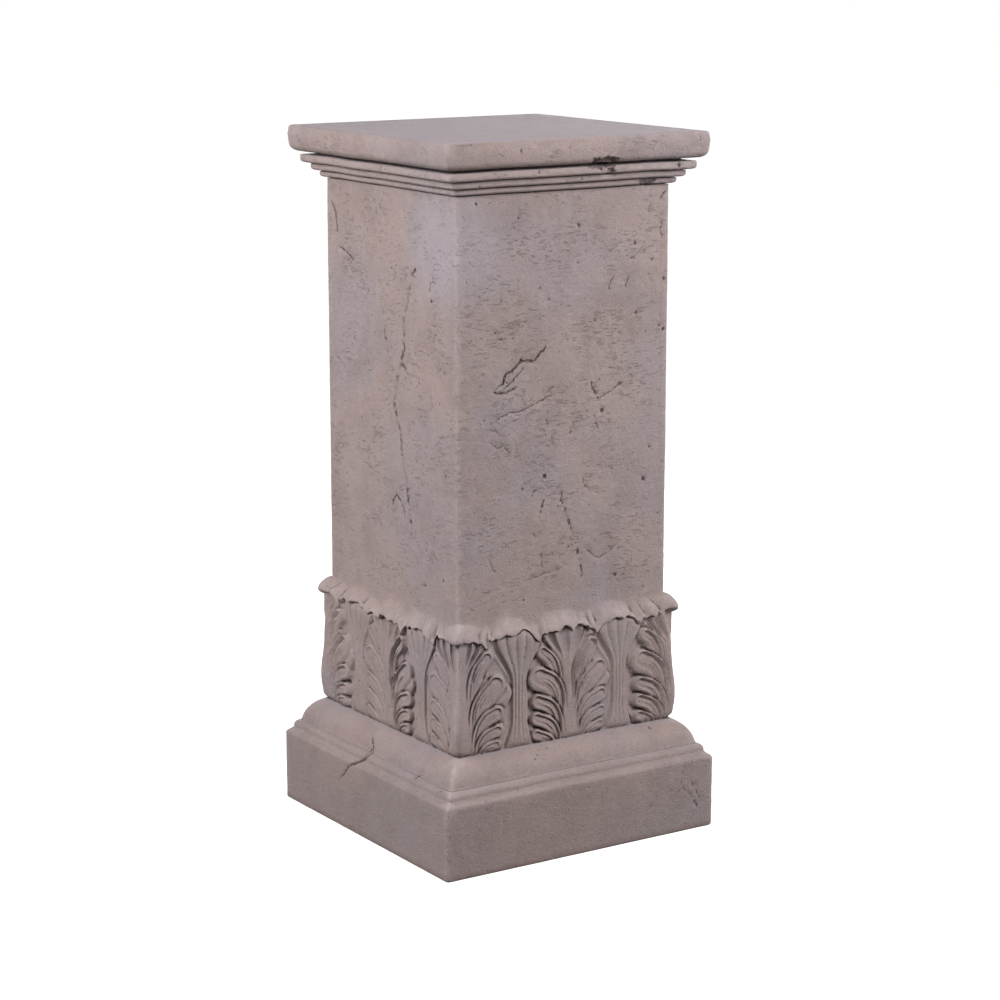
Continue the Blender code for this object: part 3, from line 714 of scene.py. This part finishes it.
def pedestal_grid():
    """Every ring from the underside up: heights, half widths by face and column, corner rounding."""
    shares = np.linspace(-1.0, 1.0, COLUMNS, endpoint=False)
    base, ledge = base_profile()
    base = closer_points(base, PLAIN_SPACING)
    shaft_top = shaft_foot() + SHAFT_HEIGHT
    shaft = closer_points([(SHAFT_HALF, shaft_foot()), (SHAFT_HALF, shaft_top)], SHAFT_SPACING)
    cap = closer_points(cap_profile(shaft_top), PLAIN_SPACING)
    band_rows = round(BAND_HEIGHT / BAND_SPACING)
    drawn = 0.4 + (DRAWN_BAND - 0.4) * np.arange(band_rows) / band_rows
    to_band = BAND_HEIGHT / DRAWN_BAND
    heights = np.array([height for _, height in base] + [ledge + z * to_band for z in drawn]
                       + [height for _, height in shaft + cap])
    halves = np.empty((len(heights), FACES, COLUMNS))
    first = len(base)
    halves[:first] = np.array([half for half, _ in base])[:, None, None]
    halves[first + band_rows:] = np.array([half for half, _ in shaft + cap])[:, None, None]
    across, up = np.meshgrid(shares * DRAWN_HALF_FACE, drawn)
    for face in range(FACES):
        relief = face_relief(across, up, LIP_EDGES[face % 2], LIP_PETALS[face % 2], FAINTNESS[face % 2])
        halves[first:first + band_rows, face] = SHAFT_HALF + relief * CARVING_DEPTH / DRAWN_DEPTH
    corners = np.full(len(heights), CORNER_ROUND)
    corners[first:first + band_rows] = (BAND_CORNER_ROUND + (CORNER_ROUND - BAND_CORNER_ROUND)
                                        * smooth(130, DRAWN_BAND, drawn))
    return shares, heights, halves, corners


def stacked_places(shares, heights, halves, corners):
    """Places in space of the rings' points, by row, face and column."""
    places = np.empty(halves.shape + (3,))
    for face in range(FACES):
        along, out = ring_point(shares[None], halves[:, face], corners[:, None])
        turn = face * 2 * math.pi / FACES
        places[:, face, :, 0] = along * math.cos(turn) + out * math.sin(turn)
        places[:, face, :, 1] = along * math.sin(turn) - out * math.cos(turn)
        places[:, face, :, 2] = heights[:, None]
    return places


def weathered(shares, heights, halves, corners):
    """Press in the cast's unevenness, the cracks and the pits; return the places, and the masks of dirt and
    painted shade in hollows and of wear and painted highlight on proud places.
    """
    places = stacked_places(shares, heights, halves, corners)
    top, foot = heights[-1], heights[0]
    worn = np.zeros(halves.shape)
    for seed, (size, depth) in enumerate(UNEVENNESS):
        worn += depth * (0.5 + 0.5 * noise(places, size, 20 + seed))
    marks = np.empty(halves.shape)
    for face in range(FACES):
        along = shares[None] * halves[:, face] * 1000
        up = np.broadcast_to(heights[:, None] * 1000, along.shape)
        marks[:, face] = mark_depth(face, along, up, places[:, face])
    rows = len(heights)
    pressed = halves - worn - marks / 1000
    # Hollows, cracks, chips and pits get a mask of dirt and painted shade
    hollow = hollowness((halves - marks / 1000).reshape(rows, -1)).reshape(halves.shape)
    hollow = np.clip(hollow / HOLLOW_FULL, 0.0, 1.0)
    soil_and_shade = MARK_SOIL_AND_SHADE - (MARK_SOIL_AND_SHADE - CHIP_SOIL_AND_SHADE) * smooth(2.3, 2.8, marks)
    hollow = np.where(marks > 0, soil_and_shade * np.clip(marks / MARK_FULL, 0.0, 1.0), hollow)
    # Proud places and arrises get a mask of wear and painted highlight
    proud = hollowness(-halves.reshape(rows, -1)).reshape(halves.shape) / PROUD_FULL
    from_corner = (1 - np.abs(shares)) * halves
    proud = np.maximum(proud, ARRIS_RUBBED_AND_HIGHLIT * (1 - smooth(0.001, 0.007, from_corner)))
    # Painted highlight on the tops of the curled leaf tips
    leaf_tips = smooth(*LIP_ROWS, heights) * (heights < shaft_foot())
    proud = np.maximum(proud, LIP_HIGHLIGHT * leaf_tips[:, None, None] * smooth(*LIP_STANDS_OUT, halves - SHAFT_HALF))
    proud = np.clip(proud, 0.0, 1.0)
    places = stacked_places(shares, heights, pressed, corners)
    free = smooth(foot, foot + 0.01, heights) * (1 - smooth(top - 0.008, top - 0.003, heights))
    places[..., 2] += WAVER * free[:, None, None] * noise(places, WAVER_LENGTH, 30)
    return places, {"hollow": hollow, "proud": proud}


def pedestal_mesh():
    """Stack the rings, close the underside and the top, and return one closed mesh."""
    shares, heights, halves, corners = pedestal_grid()
    places, masks_of_dirt_shade_wear_and_highlight = weathered(shares, heights, halves, corners)
    rows = len(heights)
    around = COLUMNS * FACES
    row, column = np.meshgrid(np.arange(rows - 1), np.arange(around), indexing="ij")
    beside = (column + 1) % around
    quads = np.stack([row * around + column, row * around + beside,
                      (row + 1) * around + beside, (row + 1) * around + column], axis=-1)
    lids = np.concatenate([np.arange(around)[::-1], np.arange((rows - 1) * around, rows * around)])
    corner_vertices = np.concatenate([quads.reshape(-1), lids])
    quad_count = (rows - 1) * around
    starts = np.concatenate([np.arange(quad_count) * 4, quad_count * 4 + np.array([0, around])])
    mesh = bpy.data.meshes.new("pedestal_stone")
    mesh.vertices.add(rows * around)
    mesh.vertices.foreach_set("co", places.reshape(-1).astype(np.float32))
    mesh.loops.add(len(corner_vertices))
    mesh.loops.foreach_set("vertex_index", corner_vertices.astype(np.int32))
    mesh.polygons.add(len(starts))
    mesh.polygons.foreach_set("loop_start", starts.astype(np.int32))
    mesh.update(calc_edges=True)
    for name, values in masks_of_dirt_shade_wear_and_highlight.items():
        attribute = mesh.attributes.new(name, "FLOAT", "POINT")
        attribute.data.foreach_set("value", values.reshape(-1).astype(np.float32))
    return mesh


def stone_material():
    """Cast stone: warm and bluish patches, mottling, grain, pits, dirt and painted shade in the hollows, wear and
    painted highlight on proud places, a painted sheen on upward faces and painted shade low down.
    """
    material = bpy.data.materials.new("cast_stone")
    material.use_nodes = True
    nodes, links = material.node_tree.nodes, material.node_tree.links
    shader = nodes["Principled BSDF"]
    coordinates = nodes.new("ShaderNodeTexCoord").outputs["Object"]
    geometry = nodes.new("ShaderNodeNewGeometry")

    def cloud(size, detail, roughness, seed, stretch=(1.0, 1.0, 1.0)):
        mapping = nodes.new("ShaderNodeMapping")
        mapping.inputs["Location"].default_value = (seed * 3.1, seed * 1.7, seed * 2.3)
        mapping.inputs["Scale"].default_value = stretch
        links.new(coordinates, mapping.inputs["Vector"])
        texture = nodes.new("ShaderNodeTexNoise")
        texture.inputs["Scale"].default_value = 1.0 / size
        texture.inputs["Detail"].default_value = detail
        texture.inputs["Roughness"].default_value = roughness
        links.new(mapping.outputs["Vector"], texture.inputs["Vector"])
        return texture.outputs["Fac"]

    def ranged(value, low, high, to_low, to_high):
        node = nodes.new("ShaderNodeMapRange")
        node.interpolation_type = "SMOOTHSTEP"
        links.new(value, node.inputs["Value"])
        for name, number in (("From Min", low), ("From Max", high), ("To Min", to_low), ("To Max", to_high)):
            node.inputs[name].default_value = number
        return node.outputs["Result"]

    def maths(operation, first, second):
        node = nodes.new("ShaderNodeMath")
        node.operation = operation
        for socket, value in zip(node.inputs, (first, second)):
            if isinstance(value, float):
                socket.default_value = value
            else:
                links.new(value, socket)
        return node.outputs["Value"]

    def mixed(share, first, second, blend="MIX"):
        node = nodes.new("ShaderNodeMix")
        node.data_type = "RGBA"
        node.blend_type = blend
        links.new(share, node.inputs["Factor"])
        for socket, value in ((node.inputs[6], first), (node.inputs[7], second)):
            if isinstance(value, tuple):
                socket.default_value = value
            else:
                links.new(value, socket)
        return node.outputs[2]

    def attribute(name):
        node = nodes.new("ShaderNodeAttribute")
        node.attribute_name = name
        return node.outputs["Fac"]

    split = nodes.new("ShaderNodeSeparateXYZ")
    links.new(geometry.outputs["Normal"], split.inputs["Vector"])

    colour = mixed(ranged(cloud(0.13, 3.0, 0.55, 1), 0.4, 0.62, 0.0, 1.0), WARM_STONE, COOL_STONE)
    colour = mixed(ranged(cloud(0.045, 5.0, 0.65, 2, (1.0, 1.0, 0.8)), 0.40, 0.68, 0.0, 0.36), colour, DARK_STONE)
    colour = mixed(ranged(cloud(0.010, 4.0, 0.7, 3), 0.5, 0.72, 0.0, 0.25), colour, PALE_STONE)
    # Painted sheen on upward faces
    colour = mixed(ranged(split.outputs["Z"], 0.8, 0.97, 0.0, 0.75), colour, UPWARD_SHEEN)
    grain = cloud(0.0016, 3.0, 0.75, 4)
    colour = mixed(ranged(grain, 0.50, 0.75, 0.0, 0.32), colour, PALE_STONE)
    colour = mixed(ranged(grain, 0.50, 0.28, 0.0, 0.42), colour, DARK_STONE)
    height = nodes.new("ShaderNodeSeparateXYZ")
    links.new(coordinates, height.inputs["Vector"])
    # Painted shade, darker towards the bottom
    colour = mixed(ranged(height.outputs["Z"], *PAINTED_SHADE_ROWS, 0.3, 0.0), colour, DARK_STONE)
    colour = mixed(ranged(height.outputs["Z"], 0.0, FOOT_SOIL_HEIGHT, 0.45, 0.0), colour, FOOT_SOIL)

    scratched = ranged(cloud(0.0042, 4.0, 0.65, 9, (0.55, 0.55, 1.8)), 0.54, 0.66, 0.0, 1.0)
    scratched = maths("MULTIPLY", scratched, ranged(cloud(0.045, 3.0, 0.6, 10), 0.40, 0.60, 0.12, 1.0))
    scratched = maths("MULTIPLY", scratched, ranged(height.outputs["Z"], *SCRATCHED_ROWS, 0.3, 1.0))
    scratched = maths("MULTIPLY", scratched, ranged(split.outputs["Z"], 0.3, 0.7, 1.0, 0.2))
    colour = mixed(maths("MULTIPLY", scratched, 0.65), colour, DARK_STONE)
    near_patch = nodes.new("ShaderNodeVectorMath")
    near_patch.operation = "DISTANCE"
    links.new(coordinates, near_patch.inputs[0])
    near_patch.inputs[1].default_value = BLUISH_PATCH
    colour = mixed(ranged(near_patch.outputs["Value"], 0.02, BLUISH_REACH, 0.55, 0.0), colour, BLUISH_STONE)

    # Proud places rubbed pale, with a painted highlight
    rubbed_and_highlit = maths("MULTIPLY", attribute("proud"), ranged(cloud(0.012, 3.0, 0.6, 8), 0.3, 0.7, 0.3, 1.0))
    colour = mixed(maths("MULTIPLY", rubbed_and_highlit, 0.65), colour, PALE_STONE)

    # Small pores, darkened with dirt and painted shade
    voids = nodes.new("ShaderNodeTexVoronoi")
    voids.inputs["Scale"].default_value = 1.0 / VOID_SPACING
    voids.inputs["Randomness"].default_value = 1.0
    links.new(coordinates, voids.inputs["Vector"])
    patchy = ranged(cloud(0.0035, 4.0, 0.7, 5), 0.52, 0.70, 0.0, 0.34)
    holes = maths("LESS_THAN", voids.outputs["Distance"], patchy)
    colour = mixed(maths("MULTIPLY", holes, 0.75), colour, DIRT_AND_SHADE)
    # Dirt and painted shade in the hollows
    dirt_and_shade_share = maths("MULTIPLY", attribute("hollow"), ranged(cloud(0.006, 3.0, 0.6, 6), 0.25, 0.6, 0.6, 1.0))
    colour = mixed(ranged(dirt_and_shade_share, 0.12, 0.95, 0.0, 0.93), colour, DIRT_AND_SHADE)
    links.new(colour, shader.inputs["Base Color"])
    links.new(ranged(cloud(0.018, 4.0, 0.65, 11), 0.35, 0.65, 0.78, 0.93), shader.inputs["Roughness"])
    shader.inputs["Specular IOR Level"].default_value = 0.35

    relief = maths("MULTIPLY", grain, 1.0)
    relief = maths("ADD", relief, maths("MULTIPLY", cloud(0.0060, 5.0, 0.70, 7), 1.5))
    relief = maths("SUBTRACT", relief, maths("MULTIPLY", holes, 0.9))
    relief = maths("SUBTRACT", relief, maths("MULTIPLY", scratched, 0.5))
    bump_node = nodes.new("ShaderNodeBump")
    bump_node.inputs["Strength"].default_value = 1.0
    bump_node.inputs["Distance"].default_value = GRAIN_HEIGHT
    links.new(relief, bump_node.inputs["Height"])
    links.new(bump_node.outputs["Normal"], shader.inputs["Normal"])
    return material


def make_pedestal():
    mesh = pedestal_mesh()
    mesh.materials.append(stone_material())
    mesh.shade_smooth()
    stone = bpy.data.objects.new("pedestal_stone", mesh)
    bpy.context.scene.collection.objects.link(stone)
    fewer = stone.modifiers.new("fewer_faces", "DECIMATE")
    mesh.calc_loop_triangles()
    fewer.ratio = min(1.0, TRIANGLES / len(mesh.loop_triangles))
    bpy.context.view_layer.objects.active = stone
    stone.select_set(True)
    bpy.ops.object.modifier_apply(modifier=fewer.name)
    stone.data.set_sharp_from_angle(angle=math.radians(50))
    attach(stone, "root")
    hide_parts("pedestal")
    return stone


def make_camera(height):
    data = bpy.data.cameras.new("camera")
    camera = bpy.data.objects.new("camera", data)
    bpy.context.scene.collection.objects.link(camera)
    bearing, tilt = math.radians(CAMERA_BEARING), math.radians(CAMERA_TILT)
    camera.location = (-CAMERA_DISTANCE * height * math.sin(bearing),
                       -CAMERA_DISTANCE * height * math.cos(bearing), CAMERA_HEIGHT * height)
    ahead = Vector((math.sin(bearing) * math.cos(tilt), math.cos(bearing) * math.cos(tilt), -math.sin(tilt)))
    camera.rotation_euler = ahead.to_track_quat("-Z", "Y").to_euler()
    data.sensor_width = SENSOR
    data.lens = FOCAL_PIXELS / FRAME_PIXELS * SENSOR
    data.shift_x = (FRAME_PIXELS / 2 - CENTRE_PIXEL) / FRAME_PIXELS
    bpy.context.scene.camera = camera


def make_light(name, place, target, width, height, power):
    data = bpy.data.lights.new(name, "AREA")
    data.shape = "RECTANGLE"
    data.size = width
    data.size_y = height
    data.energy = power
    light = bpy.data.objects.new(name, data)
    bpy.context.scene.collection.objects.link(light)
    light.location = place
    light.visible_camera = False
    light.rotation_euler = (target - place).to_track_quat("-Z", "Y").to_euler()


def make_studio(height):
    """Softboxes to each side of the camera, overhead, in front and behind, in a dim white room."""
    bearing = math.radians(CAMERA_BEARING)
    right = Vector((math.cos(bearing), -math.sin(bearing), 0.0))
    nearer = Vector((-math.sin(bearing), -math.cos(bearing), 0.0))
    middle = Vector((0.0, 0.0, 0.7 * height))
    for name, aside, towards, rise, width, tall, power in SOFTBOXES:
        place = middle + right * aside + nearer * towards + Vector((0.0, 0.0, rise))
        make_light(name, place, middle, width, tall, power)
    world = bpy.data.worlds.new("studio")
    world.use_nodes = True
    nodes, links = world.node_tree.nodes, world.node_tree.links
    fill = nodes["Background"]
    fill.inputs["Color"].default_value = (1.0, 1.0, 1.0, 1.0)
    fill.inputs["Strength"].default_value = ROOM_LIGHT
    backdrop = nodes.new("ShaderNodeBackground")
    backdrop.inputs["Color"].default_value = (1.0, 1.0, 1.0, 1.0)
    backdrop.inputs["Strength"].default_value = BACKDROP_LIGHT
    path = nodes.new("ShaderNodeLightPath")
    mix = nodes.new("ShaderNodeMixShader")
    links.new(path.outputs["Is Camera Ray"], mix.inputs["Fac"])
    links.new(fill.outputs["Background"], mix.inputs[1])
    links.new(backdrop.outputs["Background"], mix.inputs[2])
    links.new(mix.outputs["Shader"], nodes["World Output"].inputs["Surface"])
    bpy.context.scene.world = world
    bpy.context.scene.view_settings.view_transform = "Standard"


def make_floor():
    """A pale sweep that glows a little, so that it stays white to its far edge."""
    data = bpy.data.meshes.new("floor")
    reach = FLOOR_REACH
    data.from_pydata([(-reach, -reach, 0), (reach, -reach, 0), (reach, reach, 0), (-reach, reach, 0)], [],
                     [(0, 1, 2, 3)])
    material = bpy.data.materials.new("pale_floor")
    material.use_nodes = True
    shader = material.node_tree.nodes["Principled BSDF"]
    shader.inputs["Base Color"].default_value = FLOOR_COLOUR
    shader.inputs["Roughness"].default_value = 0.9
    shader.inputs["Emission Color"].default_value = (1.0, 1.0, 1.0, 1.0)
    shader.inputs["Emission Strength"].default_value = FLOOR_GLOW
    data.materials.append(material)
    floor = bpy.data.objects.new("floor", data)
    floor.visible_diffuse = False
    floor.visible_glossy = False
    bpy.context.scene.collection.objects.link(floor)


for thing in list(bpy.data.objects):
    bpy.data.objects.remove(thing, do_unlink=True)
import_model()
pedestal_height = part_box("pedestal")[1][2]
make_camera(pedestal_height)
make_studio(pedestal_height)
make_floor()
make_pedestal()
